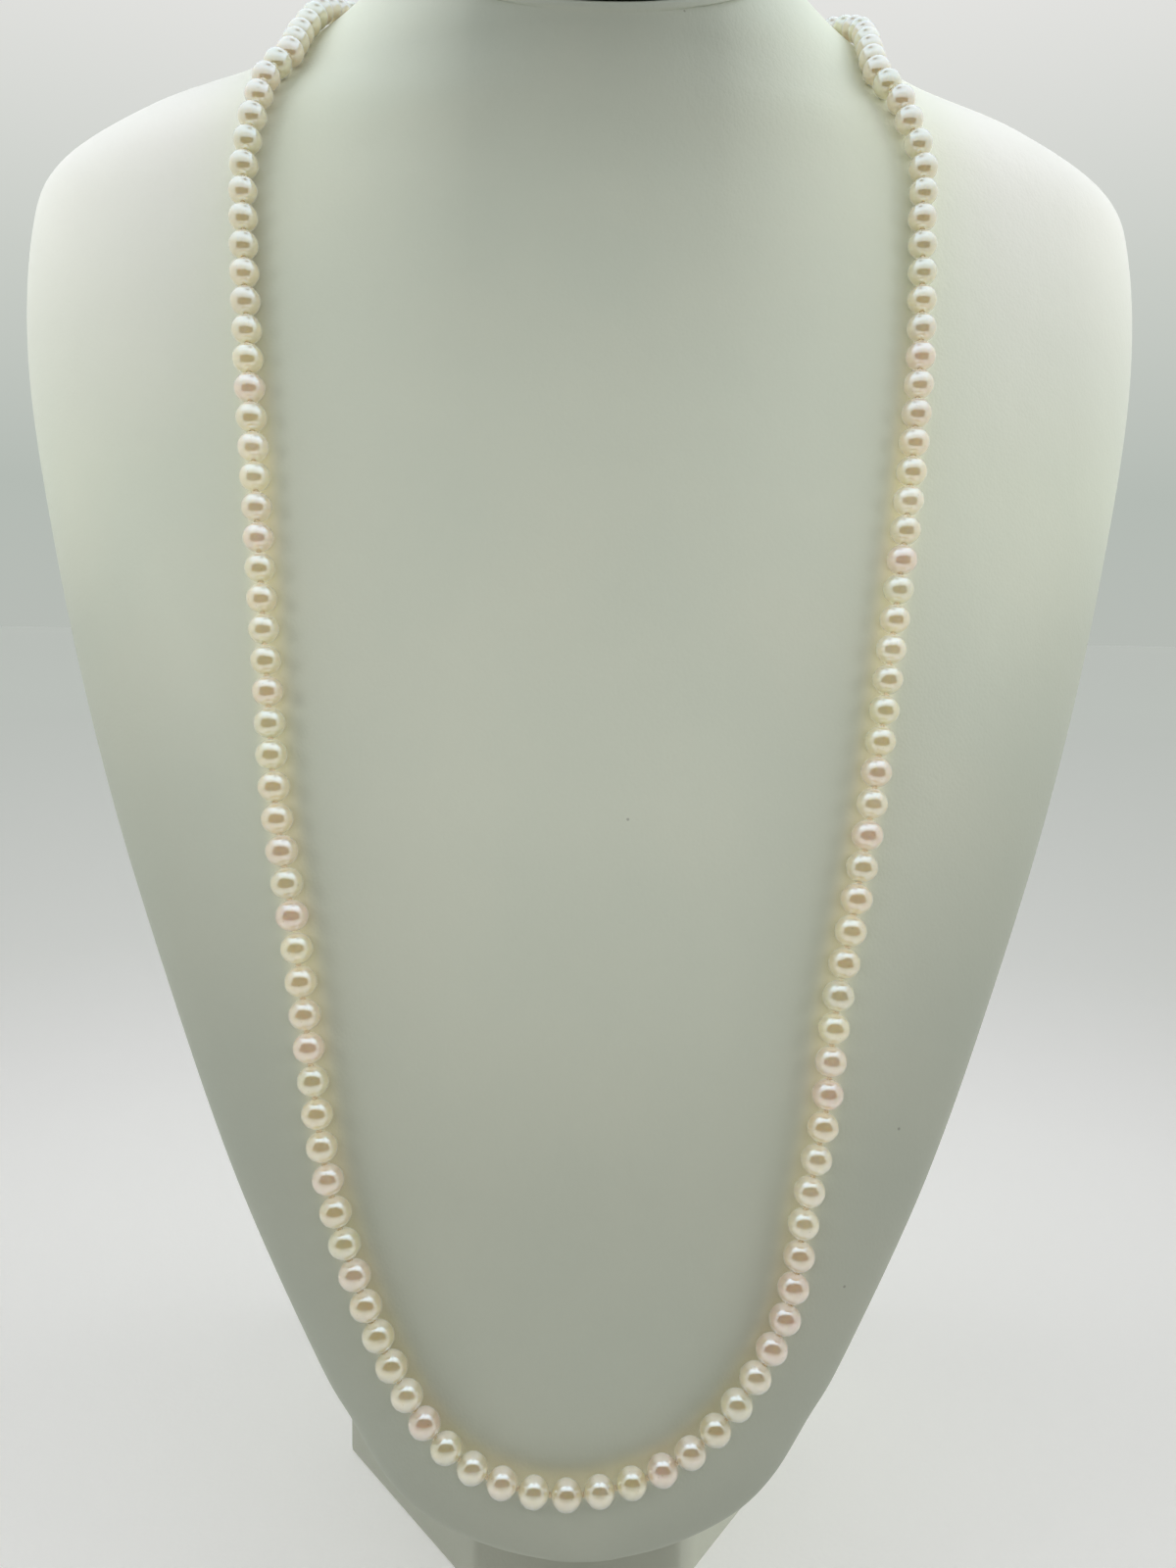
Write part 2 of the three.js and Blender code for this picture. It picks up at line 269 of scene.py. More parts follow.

# %% [markdown]
# ## The light tent
# Pearls are lit in a tent of white cloth, because a pearl is a mirror: it shows
# everything round it. The floor and the walls are one bowl, a line turned round the middle like a
# plate, so that no corner shows from any side. Its cloth is painted greyer with distance, as a
# painted shade of the far cloth, and it glows a little, as cloth does that is lit from outside.

# %% The floor and the walls
# distance from the middle, and height
SWEEP = [(0.12, 0.0), (0.24, 0.0), (0.33, 0.0), (0.4, 0.006), (0.48, 0.02), (0.58, 0.045),
         (0.7, 0.08), (0.85, 0.12), (1.1, 0.17), (1.6, 0.2), (3.0, 0.2)]
TENT_AROUND = 96

cloth = new_finish("tent_cloth")
away = cloth.node("VectorMath", {"operation": "LENGTH"}, {0: cloth.place() * (1.0, 1.0, 0.0)}, 1)
weave = cloth.noise(cloth.place(), 900.0, 3.0)
# painted shade: the cloth is darker further from the middle, where the far walls get less light
tone = cloth.ramp(away, (0.3, (0.87, 0.87, 0.86)), (0.36, (0.84, 0.84, 0.83)),
                  (0.5, (0.715, 0.73, 0.7)), (0.9, (0.6, 0.62, 0.585)))
from_outside = cloth.ramp(away, (0.15, (0.22, 0.22, 0.22)), (0.4, (0.26, 0.26, 0.26)),
                          (1.2, (0.3, 0.32, 0.3)))
tent_cloth = cloth.skin(Base_Color=cloth.blend(weave * 0.05, tone, (0.5, 0.5, 0.48)),
                        Roughness=0.9, Normal=cloth.bump(weave, 0.0001),
                        Emission_Color=from_outside, Emission_Strength=1.0)

tent_points = [(r * math.cos(a), r * math.sin(a), z) for r, z in SWEEP for a in circle(TENT_AROUND)]
tent_points.append((0.0, 0.0, 0.0))
tent_faces = [face[::-1] for face in ring_faces(len(SWEEP), TENT_AROUND, "open")]
tent_faces += [(len(tent_points) - 1, k, (k + 1) % TENT_AROUND) for k in range(TENT_AROUND)]
sweep = mesh_object("tent_sweep", tent_points, tent_faces, [tent_cloth])
sweep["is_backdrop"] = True
print("tent:", len(tent_faces), "faces")

# %% [markdown]
# ## Lamps
# Soft oblong lamps light the bust from above, from both sides and from the front. Blender can
# hide a lamp from the camera and from mirrors while it still lights what is dull, and all of
# these are hidden so. The light on the leatherette can then be set without changing what the
# pearls show.

# %% The lamps
def lamp(name, place, towards, size, power):
    """A soft oblong lamp: size across and along, power in watts."""
    data = bpy.data.lights.new(name, "AREA")
    data.shape, data.size, data.size_y = "RECTANGLE", *size
    data.energy = power
    made = bpy.data.objects.new(name, data)
    bpy.context.scene.collection.objects.link(made)
    made.location = place
    made.rotation_euler = (Vector(towards) - Vector(place)).to_track_quat("-Z", "Y").to_euler()
    made.visible_camera = made.visible_glossy = False


LAMPS = [  # one on each side, or a single one where it stands at x 0: place, towards, size, power
    ("top", (0.24, 0.08, 0.64), (0.14, 0.03, 0.33), (0.12, 0.3), 0.445),
    ("wall", (0.36, 0.02, 0.5), (0.0, 0.02, 0.45), (0.2, 0.26), 0.297),
    ("wall_front", (0.36, -0.18, 0.5), (0.0, -0.1, 0.42), (0.2, 0.26), 0.042),
    ("wall_low", (0.36, 0.02, 0.26), (0.1, 0.02, 0.28), (0.2, 0.2), 0.083),
    ("near_side", (0.26, -0.2, 0.3), (0.05, -0.02, 0.28), (0.1, 0.16), 0.104),
    ("near", (0.0, -0.25, 0.21), (0.0, 0.0, 0.22), (0.4, 0.08), 0.168),
]
for name, (x, y, z), (to_x, to_y, to_z), size, power in LAMPS:
    for side in (-1, 1) if x else (1,):
        lamp(f"{name}_{side}", (side * x, y, z), (side * to_x, to_y, to_z), size, power)

# %% [markdown]
# ## What the pearls mirror
# Each pearl shows a white cap, a dark oblong below it and a bright floor. They are the tent's
# roof with its hem and walls, the dark room beyond the open front, and the cloth that the bust
# stands on. Cards that only mirrors show stand in for the first two, so that they can be as
# bright or as dark as the pearls need. A third card fills the opening and does the reverse:
# neither the camera nor a mirror shows it, and it only keeps light from the front.

# %% The cards
def card(name, corners, faces, material):
    """A card of the tent that shows in mirrors and nowhere else."""
    made = mesh_object(name, corners, faces, [material])
    made.visible_camera = made.visible_diffuse = made.visible_shadow = False
    made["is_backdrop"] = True
    return made


ROOF, WALL, BACK_END, WALL_FOOT = 0.62, 0.38, 0.34, 0.04
ROOF_FRONT, ROOF_HEM, HEM_HEIGHT, WALL_FRONT = -0.26, -0.232, 0.33, -0.3
glow = new_finish("lit_cloth")
from_spot = glow.node("VectorMath", {"operation": "LENGTH"},
                      {0: glow.place() - (0.0, -0.03, ROOF)}, 1)
bright = glow.ramp(from_spot, (0.04, 0.3), (0.07, 1.0), (0.2, 1.2), (0.45, 1.0))
lit = glow.ramp(glow.place().along("Z"), (0.05, (0.42, 0.44, 0.42)), (0.35, (0.52, 0.55, 0.55)),
                (0.5, (0.7, 0.78, 0.84)), (0.6, (0.84, 0.97, 1.1)))
roof = [(x, y, ROOF) for y in (ROOF_FRONT, BACK_END) for x in (-WALL, WALL)]
hem = [(x, ROOF_HEM, HEM_HEIGHT) for x in (-WALL, WALL)]
walls = [(x, y, z) for x in (-WALL, WALL)
         for y, z in ((WALL_FRONT, ROOF), (WALL_FRONT, WALL_FOOT), (BACK_END, WALL_FOOT))]
card("tent_cloth_card", roof + hem + walls,
     [(0, 1, 3, 2), (4, 5, 1, 0), (6, 7, 8, 2), (9, 10, 11, 3)],
     glow.lit_card(glow.blend(1.0, bright, lit, "MULTIPLY"), 1.25))

ROOM_FOOT, ROOM_TOP, ROOM_BACK = (WALL, -0.266, 0.073), (0.27, ROOF_HEM, HEM_HEIGHT), (0.3, -0.5, 0.33)
dark = new_finish("dark_room")
in_room = dark.ramp(dark.noise(dark.place(), 9.0), (0.3, (0.012, 0.008, 0.004)),
                    (0.7, (0.05, 0.035, 0.02)))
card("dark_room_card", [(side * x, y, z) for x, y, z in (ROOM_FOOT, ROOM_TOP, ROOM_BACK)
                        for side in (-1, 1)],
     [(2, 3, 1, 0), (4, 5, 3, 2)], dark.lit_card(in_room))

OPENING_Y, OPENING_HALF, OPENING_FOOT, OPENING_TOP = -0.36, 0.36, 0.002, 0.387
felt = new_finish("dark_felt")
felt_tone = felt.noise(felt.place(), 6.0)
dark_felt = felt.skin(Base_Color=felt.blend(felt_tone, (0.05, 0.035, 0.025), (0.1, 0.075, 0.055)),
                      Roughness=0.9)
opening = mesh_object("tent_opening", [(x, OPENING_Y, z) for z in (OPENING_FOOT, OPENING_TOP)
                                       for x in (-OPENING_HALF, OPENING_HALF)],
                      [(2, 3, 1, 0)], [dark_felt])
opening.visible_camera = opening.visible_glossy = False
opening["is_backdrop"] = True
print("cards: roof at", ROOF, "walls at", WALL, "opening up to", OPENING_TOP)

# %% [markdown]
# ## The world
# Past the bowl's rim the world shows. A gradient by height is enough for it: grey-green near the
# horizon, palest some way up, like the tent's far cloth, and dark overhead, where the lamps and
# the cards do the work. A film look would grey the whites, so the plain view transform is used.

# %% The world
world = Finish(bpy.data.worlds.new("studio"))
bpy.context.scene.world = world.owner
upwards = world.node("TexCoord", {}, {}, "Generated").along("Z")
far_cloth = world.ramp(upwards, (0.0, (0.47, 0.5, 0.465)), (0.1, (0.46, 0.5, 0.46)),
                       (0.25, (0.58, 0.61, 0.57)), (0.42, (0.77, 0.77, 0.75)),
                       (0.48, (0.73, 0.73, 0.71)), (0.6, (0.12, 0.12, 0.12)))
world.node("OutputWorld", {}, {"Surface": world.node(
    "Background", {}, {"Color": far_cloth, "Strength": 1.0})})
bpy.context.scene.view_settings.view_transform = "Standard"
print("world:", world.owner.name)

# %% [markdown]
# ## Leatherette
# Leatherette is a thin plastic skin with a pressed grain of pebbles a little under a millimetre.
# Stretched over a form it picks up longer ripples and, where it is pulled round the foot of the
# neck, small wrinkles. Displacing the mesh that finely would take millions of faces, so the grain
# is a bump. The colour drifts a little between warm and cool, and a few specks of dust lie on it.
#
# A pale form in a white tent has very soft shades, which would take many more lamps to place. So
# they are painted, by height and by distance from the middle: a darker throat and tip, paler
# shoulders whose tops take a whiter, greyer painted light, darker edges and a lighter right side.
# Beside the string a warm painted light stands for the light that the pearls throw on the skin,
# and near the neck the string's inner side has a painted shadow instead.

# %% Tones painted on the leatherette
SHIFT = 0.09  # a ramp reads numbers from 0 to 1, so one that begins left of the middle is shifted


# Painted light and shade: a warm glow beside the string, and near the neck a painted shadow on its inner side
def beside_the_string(skin, colour, height, rightwards):
    near_pearls = skin.stored("string_glow", "Fac")
    high_up = skin.ramp(height, (0.25, 0.0), (0.3, 1.0))
    inside = skin.ramp(rightwards + SHIFT, (0.006, 0.0), (0.01, 1.0), (0.08, 1.0), (0.1, 0.6),
                       (0.1625, 0.6), (0.1655, 0.0))
    colour = skin.blend(near_pearls * 0.85 * (1 - high_up), colour, (1.0, 0.96, 0.72))
    return skin.blend(near_pearls * 0.6 * high_up * inside, colour, (0.42, 0.4, 0.31))


def painted_tone(skin, height, rightwards, outwards, edge_depth, side_lift):
    throat = skin.ramp(height, (0.262, 0.8), (0.285, 0.76), (0.31, 0.704), (0.33, 0.605),
                       (0.34, 0.55), (0.348, 0.485))
    shoulder = skin.ramp(height, (0.09, 0.8), (0.136, 0.735), (0.18, 0.735), (0.225, 0.8),
                         (0.255, 0.832), (0.285, 0.88), (0.315, 0.985), (0.335, 1.08))
    foot = skin.ramp(height, (0.015, 0.66), (0.025, 0.76), (0.045, 0.925), (0.1, 0.93),
                     (0.136, 1.0), (0.18, 1.045), (0.22, 1.02), (0.26, 1.0))
    aside = skin.ramp(outwards, (0.026, 0.0), (0.066, 1.0))
    edge_shade = skin.ramp(0.027 + height * 0.47 - outwards, (0.004, edge_depth), (0.038, 0.0))
    low = skin.ramp(height, (0.215, 1.0), (0.25, 0.0))
    tone = (throat * (1 - aside) + shoulder * aside) * foot * (1 - edge_shade * low)
    from_right = (skin.ramp(height, (0.2, 0.0), (0.24, 0.8), (0.28, 1.0))
                  * skin.ramp(rightwards, (0.01, 0.0), (0.045, 0.07), (0.085, 0.105),
                              (0.1, 0.06), (0.115, 0.0)))
    return tone * (1 + from_right + skin.ramp(rightwards, (0.023, 0.0), (0.0245, side_lift)))


print("tones: throat, shoulder, foot, edges, right side, and beside the string")

# %% [markdown]
# ## The finish itself
# One function makes the leatherette for the bust and for the plinth, whose copy is painted paler,
# as painted light. The plinth's edges aren't shaded, and its right bevel has painted light, as if it faced a
# lamp.

# %% The leatherette finish
PEBBLES, MOTES, MOTE_SIZE = 1500.0, 62.0, 0.02
SLOW_DEPTH, PULL_DEPTH, PEBBLE_DEPTH = 0.0003, 0.0001, 0.000035


def make_leatherette(name, pale, shade, edge_depth, side_lift):
    skin = new_finish(name)
    place = skin.place()
    height, rightwards = place.along("Z"), place.along("X")
    outwards = skin.node("Math", {"operation": "ABSOLUTE"}, {0: rightwards})
    drift = skin.noise(place, 22.0, 3.0)
    speck = (skin.cells(place, MOTES) < MOTE_SIZE) * (drift < 0.5)
    colour = skin.blend(skin.ramp(drift, (0.35, 0.0), (0.65, 1.0)), pale, shade)
    colour = skin.blend(speck * 0.4, colour, (0.12, 0.11, 0.08))
    colour = beside_the_string(skin, colour, height, rightwards)
    # painted light: the tops of the shoulders take the whiter, greyer colour of the overhead light
    lit_shoulder_tint = (skin.ramp(height, (0.25, 0.0), (0.33, 1.0))
             * skin.ramp(outwards, (0.07, 0.0), (0.095, 1.0)))
    colour = skin.blend(lit_shoulder_tint, colour, (0.715, 0.712, 0.672))
    tone = painted_tone(skin, height, rightwards, outwards, edge_depth, side_lift)
    colour = skin.blend(1.0, colour, tone * 1.25, "MULTIPLY")

    pebble = skin.cells(place * (1.0, 1.0, 0.8), PEBBLES)
    slow = skin.noise(place, 75.0, 2.0)
    pull = skin.noise(place * (900.0, 500.0, 420.0), 1.0, 2.0, 0.65)
    neck_foot = skin.ramp(height, (0.29, 0.12), (0.345, 1.0), (0.4, 0.5))
    relief = slow * SLOW_DEPTH + pull * neck_foot * PULL_DEPTH - pebble * PEBBLE_DEPTH
    return skin.skin(Base_Color=colour, Roughness=0.42 + pebble * 0.1,
                     Normal=skin.bump(relief, 1.0), IOR=1.5, Specular_IOR_Level=0.25)


leatherette = make_leatherette("leatherette", (0.68, 0.715, 0.60), (0.655, 0.70, 0.59),
                               edge_depth=0.19, side_lift=0.0)
# painted light: the plinth's copy of the leatherette is paler, and its right bevel is lifted
plinth_leatherette = make_leatherette("plinth_leatherette", (0.76, 0.785, 0.665),
                                      (0.73, 0.76, 0.64), edge_depth=0.0, side_lift=0.36)
print("finishes:", leatherette.name, plinth_leatherette.name)

# %% [markdown]
# ## The form
# The bust is one smooth skin. It could be sculpted, but a table of sections is exact and easy to
# change: each row gives the half width, how far forward the front reaches, how far back the back
# reaches, and the height of each. A smooth line through the rows gives every section between
# them. The measured model has the same table with few points, and here it gets many.

# %% Sections of the form
# half width, side y, side z, front y, front z, back y, back z, squareness of the back, throat
FORM = np.array([
    [8, -75, 24.7, -76.3, 24.6, 53, 24.7, 2.7, 0],
    [21, -72, 26.6, -76.2, 26.2, 53, 26.6, 2.7, 0],
    [33, -69.5, 31.2, -76, 30.8, 53, 31.2, 2.7, 0],
    [41, -68, 38.5, -75.8, 38.3, 53, 38.5, 2.7, 0],
    [48.3, -66, 50, -75.4, 50, 53, 50, 2.7, 0],
    [56, -63, 62, -74.8, 62, 54, 62, 2.7, 0],
    [73.6, -57, 99, -72.2, 99, 57, 99, 2.6, 0],
    [91, -43, 138, -68, 138, 62, 138, 2.5, 0],
    [109.5, -22, 179, -60, 179, 68, 179, 2.4, 0],
    [127, 2, 225, -48, 225, 74, 225, 2.3, 0],
    [141, 24, 275, -35.5, 275, 79.5, 275, 2.2, 0.3],
    [142.5, 32, 312, -26, 306, 82, 312, 2.2, 1.8],
    [135, 32, 331, -20, 320.5, 81.5, 332, 2.2, 4.4],
    [111, 32, 347, -17, 331, 80, 351, 2.2, 5.7],
    [83, 32, 358, -15, 338, 77.5, 368, 2.2, 6.4],
    [66, 31, 368, -14.5, 343, 75, 386, 2.1, 6.2],
    [54, 30, 378, -17.2, 346.5, 73.2, 402, 2, 3.3],
    [46.5, 29, 385.3, -20.5, 349, 72, 417, 2, 0],
])
THROAT_HALF = 38.0
APRON_BACK, APRON_SQUARE, APRON_TOP = -56.0, 6.0, 5
TOP = len(FORM) - 1
STEP, HALVINGS = 0.002, 30


def through(rows, position):
    """A smooth line through rows of numbers: position 0 is the first row, 1 the second."""
    rows, position = np.asarray(rows, float), np.asarray(position, float)
    last = len(rows) - 1
    row = np.clip(np.floor(position).astype(int), 0, last - 1)
    t = (position - row)[:, None]
    a, b, c, d = (rows[np.clip(row + k, 0, last)] for k in (-1, 0, 1, 2))
    return 0.5 * (2 * b + (c - a) * t + (2 * a - 5 * b + 4 * c - d) * t**2
                  + (3 * b - a - 3 * c + d) * t**3)


def form_point(turn, level, apron=False):
    """Points of the form in millimetres: turn from the middle of the front, level from the tip."""
    turn, level = np.broadcast_arrays(np.asarray(turn, float), np.asarray(level, float))
    half, side_y, side_z, front_y, front_z, back_y, back_z, square, throat = through(FORM, level).T
    if apron:
        back_y, back_z, square = APRON_BACK, side_z, APRON_SQUARE
    sideways, forward = np.sin(turn), np.cos(turn)
    power = np.where(forward >= 0, 1.0, 2 / square)
    reach = np.abs(forward) ** power
    x = half * np.sign(sideways) * np.abs(sideways) ** power
    front_y = front_y - throat * np.exp(-((x / THROAT_HALF) ** 2))
    y = side_y + (np.where(forward >= 0, front_y, back_y) - side_y) * reach
    z = side_z + (np.where(forward >= 0, front_z, back_z) - side_z) * reach
    return np.stack([x, y, z], -1)


def form_normal(turn, level):
    """Which way the form's skin faces, from a small step round it and a small step up it."""
    round_it = form_point(turn + STEP, level) - form_point(turn - STEP, level)
    upwards = form_point(turn, level + STEP) - form_point(turn, level - STEP)
    normal = np.cross(round_it, upwards)
    return normal / np.linalg.norm(normal, axis=-1, keepdims=True)


def level_at(turn, height):
    """The level where the form's skin has a height, found by halving what is left."""
    low, high = np.zeros(len(turn)), np.full(len(turn), float(TOP))
    for _ in range(HALVINGS):
        middle = (low + high) / 2
        under = form_point(turn, middle)[:, 2] < height
        low, high = np.where(under, middle, low), np.where(under, high, middle)
    return (low + high) / 2


print("form:", len(FORM), "sections")

# %% [markdown]
# ## The bust's cover
# Rings of points follow the sections and faces join them. The points round the back are spread
# evenly by direction, so its corners stay round. The apron ends in a rounded edge, the flat
# underside has a softened edge too, and at the neck the leatherette is rolled over the rim and
# tucked into a narrow groove round the cap. The cover is one sheet closed by a seam down the
# back, where it dips by a hair.

# %% Rings of the cover
SEAM_STEPS = np.radians([0.1, 0.2, 0.45, 0.9])
SEAM_DIP, SEAM_HALF = 0.3, 0.55
AROUND_QUARTER = 52
FRONT_STEPS = [(0, 24, 15), (24, 50, 47), (50, 90, 22)]  # from degrees, to degrees, turns


def ring_turns(square):
    """Turns round one section from the middle of the front, closer at the string and the seam."""
    front = np.radians(np.unique(np.concatenate([np.linspace(*steps) for steps in FRONT_STEPS])))
    spread = np.linspace(0, math.pi / 2, AROUND_QUARTER + 1)[1:-1]
    spread = np.concatenate([spread, math.pi / 2 - SEAM_STEPS[::-1], [math.pi / 2]])
    along, out = np.cos(spread) ** (square / 2), np.sin(spread) ** (square / 2)
    half = np.concatenate([front, math.pi / 2 + np.arctan2(out, along)])
    return np.concatenate([half, -half[-2:0:-1]])


def form_ring(level, apron=False):
    square = APRON_SQUARE if apron else float(through(FORM, [level])[0, 7])
    turns = ring_turns(square)
    ring = form_point(turns, np.full(len(turns), level), apron)
    if not apron:
        seam = np.exp(-((ring[:, 0] / SEAM_HALF) ** 2)) * (np.cos(turns) < 0)
        ring -= SEAM_DIP * seam[:, None] * form_normal(turns, np.full(len(turns), level))
    return ring


print("a ring has", len(form_ring(TOP)), "points")

# %% [markdown]
# ## The rim of the neck
# The form's top edge is a tilted oval. Its middle, its two half widths and its tilt come from the
# last section, and every ring of the rim, the groove and the cap is that oval, inset and lifted
# along its own axis.

# %% Rings of the neck
front_edge = form_point([0.0], [TOP])[0]
back_edge = form_point([math.pi], [TOP])[0]
neck_middle = (front_edge + back_edge) / 2
neck_half_long = np.linalg.norm(back_edge - front_edge) / 2
neck_half_wide = FORM[TOP, 0]
neck_tilt = math.atan2(back_edge[2] - front_edge[2], back_edge[1] - front_edge[1])
neck_up = np.array([0.0, -math.sin(neck_tilt), math.cos(neck_tilt)])
neck_along = np.array([0.0, math.cos(neck_tilt), math.sin(neck_tilt)])
neck_across = np.array([1.0, 0.0, 0.0])


def neck_ring(inset, lift, count=None):
    """A ring of the neck's oval, inset from its edge and lifted along its own axis."""
    turns = ring_turns(2.0) if count is None else circle(count)
    wide, long_ = neck_half_wide - inset, neck_half_long - inset
    return (neck_middle + neck_up * lift + np.outer(np.sin(turns) * wide, neck_across)
            - np.outer(np.cos(turns) * long_, neck_along))


print("neck:", round(math.degrees(neck_tilt), 1), "degrees of tilt")

# %% [markdown]
# ## The cover, ring by ring
# The rings are stacked from the tip of the apron to the neck's groove, close together where the
# cover turns sharply and under the string, further apart elsewhere.

# %% Build the bust's cover
RIM_ROUND, GROOVE_INSET, GROOVE_DEEP, CAP_INSET = 1.6, 2.55, 1.6, 3.2
TIP_EDGE = [(1.6, 0.55), (0.9, 0.45), (0.3, 0.2)]  # inset, drop
LEDGE_SQUARE, LEDGE_CORNER = 2.7, 6
# from level, to level, rings
APRON_LEVELS = [(0, 1.8, 22), (1.9, APRON_TOP - 0.03, 26)]
FORM_LEVELS = [(APRON_TOP + 0.3, 10, 54), (10.1, TOP, 84)]

rings = []
tip = form_ring(0.0, apron=True)
tip_middle = tip.mean(0)
for inset, drop in TIP_EDGE:
    rings.append(tip_middle + (tip - tip_middle) * (1 - inset / FORM[0, 0]) - [0, 0, drop])
rings += [form_ring(level, True) for steps in APRON_LEVELS for level in np.linspace(*steps)]
ledge = form_ring(APRON_TOP + 0.03)
inwards = ledge * [-1, -1, 0] / np.linalg.norm(ledge[:, :2], axis=1)[:, None]
at_back = np.clip(-np.cos(ring_turns(LEDGE_SQUARE)) * LEDGE_CORNER, 0, 1)
rings += [ledge + at_back[:, None] * inwards, form_ring(APRON_TOP + 0.14)]
rings += [form_ring(level) for steps in FORM_LEVELS for level in np.linspace(*steps)]
for angle in np.radians([15, 30, 45, 60, 75, 90]):
    rings.append(neck_ring(RIM_ROUND * (1 - math.cos(angle)), RIM_ROUND * math.sin(angle)))
rings += [neck_ring(GROOVE_INSET - 0.3, RIM_ROUND), neck_ring(GROOVE_INSET, RIM_ROUND - 0.25),
          neck_ring(GROOVE_INSET + 0.1, RIM_ROUND - GROOVE_DEEP),
          neck_ring(CAP_INSET + 6, RIM_ROUND - GROOVE_DEEP)]


def add_piece(made, node):
    """The finished piece rides on the body and stands for its measured node."""
    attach(made, "root")
    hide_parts(node)


bust = closed_mesh("bust_cover", rings, leatherette, sharp=50)
add_piece(bust, "bust_form")
print("bust cover:", len(rings), "rings of", len(rings[0]), "points")

# %% [markdown]
# ## The neck's cap
# A padded disc, leatherette over a thin foam, closes the neck: a flat board would look hard, so
# its top is crowned a little, its edge rolls under and its skin waves by a few hundredths.

# %% Build the neck's cap
CAP_LIFT, CAP_THICK, CAP_CROWN, CAP_POINTS = 1.9, 2.4, 0.7, 160
CAP_EDGE, CAP_END, CAP_WAVE, CAP_WAVES = 1.8, 2.5, 0.06, 5
# inset and lift of the rounded edge
CAP_PROFILE = [(1.2, -0.12), (0.3, -0.1), (0.05, 0.08), (0.0, 0.6), (0.1, 1.55), (0.45, 2.0),
               (1.0, 2.25), (CAP_EDGE, CAP_THICK)]
cap_rings = [neck_ring(CAP_INSET + inset, CAP_LIFT + lift, CAP_POINTS) for inset, lift in CAP_PROFILE]
for part in np.linspace(0.06, 0.94, 16):
    inset = CAP_INSET + CAP_EDGE + part * (neck_half_wide - CAP_INSET - CAP_END)
    lift = CAP_LIFT + CAP_THICK + CAP_CROWN * (1 - (1 - part) ** 3)
    wave = CAP_WAVE * (1 - part) * np.sin(CAP_WAVES * circle(CAP_POINTS) + 9 * part)
    cap_rings.append(neck_ring(inset, lift, CAP_POINTS) + np.outer(wave, neck_up))
cap = closed_mesh("neck_pad", cap_rings, leatherette)
add_piece(cap, "neck_cap")
print("cap:", len(cap_rings), "rings")

# %% [markdown]
# ## The plinth
# The plinth is a board box with two bevelled corners at the front. A bevel modifier would round a
# cube as well, but leatherette that is wrapped round a box has one radius at its upright corners
# and another at its rim, so an outline with round corners is stacked in rings, like the bust.

# %% Build the plinth
PLINTH_HEIGHT, PLINTH_ROUND = 61.4, 2.4
PLINTH_OUTLINE = [(-23, -55), (23, -55), (57.7, -6), (57.7, 66), (-57.7, 66), (-57.7, -6)]
CORNER_POINTS, SIDE_POINTS, CORNER_CLEAR = 6, 14, 1.6
# inset, and height from the foot or from the top
PLINTH_FOOT = [(1.4, 0.0), (0.5, 0.25), (0.1, 0.8), (0.0, 1.6)]
PLINTH_RIM = [(0.0, 2.0), (0.15, 1.0), (0.6, 0.3), (1.5, 0.0)]


def rounded_outline(corners, radius):
    """A closed outline with round corners, and points along its straight sides."""
    corners, line = np.asarray(corners, float), []
    for k, here in enumerate(corners):
        before, after = corners[k - 1], corners[(k + 1) % len(corners)]
        back, on = (before - here), (after - here)
        back, on = back / np.linalg.norm(back), on / np.linalg.norm(on)
        half = math.acos(np.clip(back @ on, -1, 1)) / 2
        start, end = here + back * radius / math.tan(half), here + on * radius / math.tan(half)
        centre = here + (back + on) / np.linalg.norm(back + on) * radius / math.sin(half)
        first, last = (math.atan2(*(p - centre)[::-1]) for p in (start, end))
        sweep_by = (last - first + math.pi) % (2 * math.pi) - math.pi
        line += [centre + radius * np.array([math.cos(first + sweep_by * t),
                                             math.sin(first + sweep_by * t)])
                 for t in np.linspace(0, 1, CORNER_POINTS)]
        line += [end + (after - end) * t for t in np.linspace(0, 1, SIDE_POINTS + 2)[1:-1]
                 if np.linalg.norm(after - end) * (1 - t) > radius * CORNER_CLEAR]
    return np.array(line)


plinth_line = rounded_outline(PLINTH_OUTLINE, PLINTH_ROUND)
plinth_middle = (np.min(PLINTH_OUTLINE, 0) + np.max(PLINTH_OUTLINE, 0)) / 2
from_middle = plinth_line - plinth_middle
from_middle /= np.linalg.norm(from_middle, axis=1)[:, None]
plinth_profile = [*PLINTH_FOOT, *((0.0, z) for z in np.linspace(4, 57, 14)),
                  *((inset, PLINTH_HEIGHT - below) for inset, below in PLINTH_RIM)]
plinth_rings = [np.column_stack([plinth_line - from_middle * inset, np.full(len(plinth_line), z)])
                for inset, z in plinth_profile]
plinth_points = np.concatenate([*plinth_rings, [[*plinth_middle, 0.0]],
                                [[*plinth_middle, PLINTH_HEIGHT]]])
plinth = mesh_object("plinth_wrap", plinth_points * MM,
                     ring_faces(len(plinth_rings), len(plinth_line)), [plinth_leatherette], sharp=60)
add_piece(plinth, "plinth")
print("plinth:", len(plinth_line), "points round")

# %% [markdown]
# ## Nacre
# A pearl is layer on layer of thin clear crystal. It shines twice: a sharp mirror at the skin,
# and a soft glow from the layers below, which differ in thickness and tint each pearl rose, green
# or gold. The shader has a high index for the strong mirror, a clear coat for its sharpness, a
# sheen for the pale rim, and light that wanders a little way under the surface. Each pearl's own
# tint, and coordinates that turn with it, are stored on its mesh, so its faint growth bands and
# small blemishes follow it.
#
# Three tones are painted by height and by which way the skin faces. Where the string hangs low,
# the undersides have a painted shade, since the apron below them lies in shade. Sides that face up
# have a faint painted glow, as painted light from above, and near the neck the body colour is
# painted darker, as shade. Every pearl also has a fainter painted glow in its own banded colour.

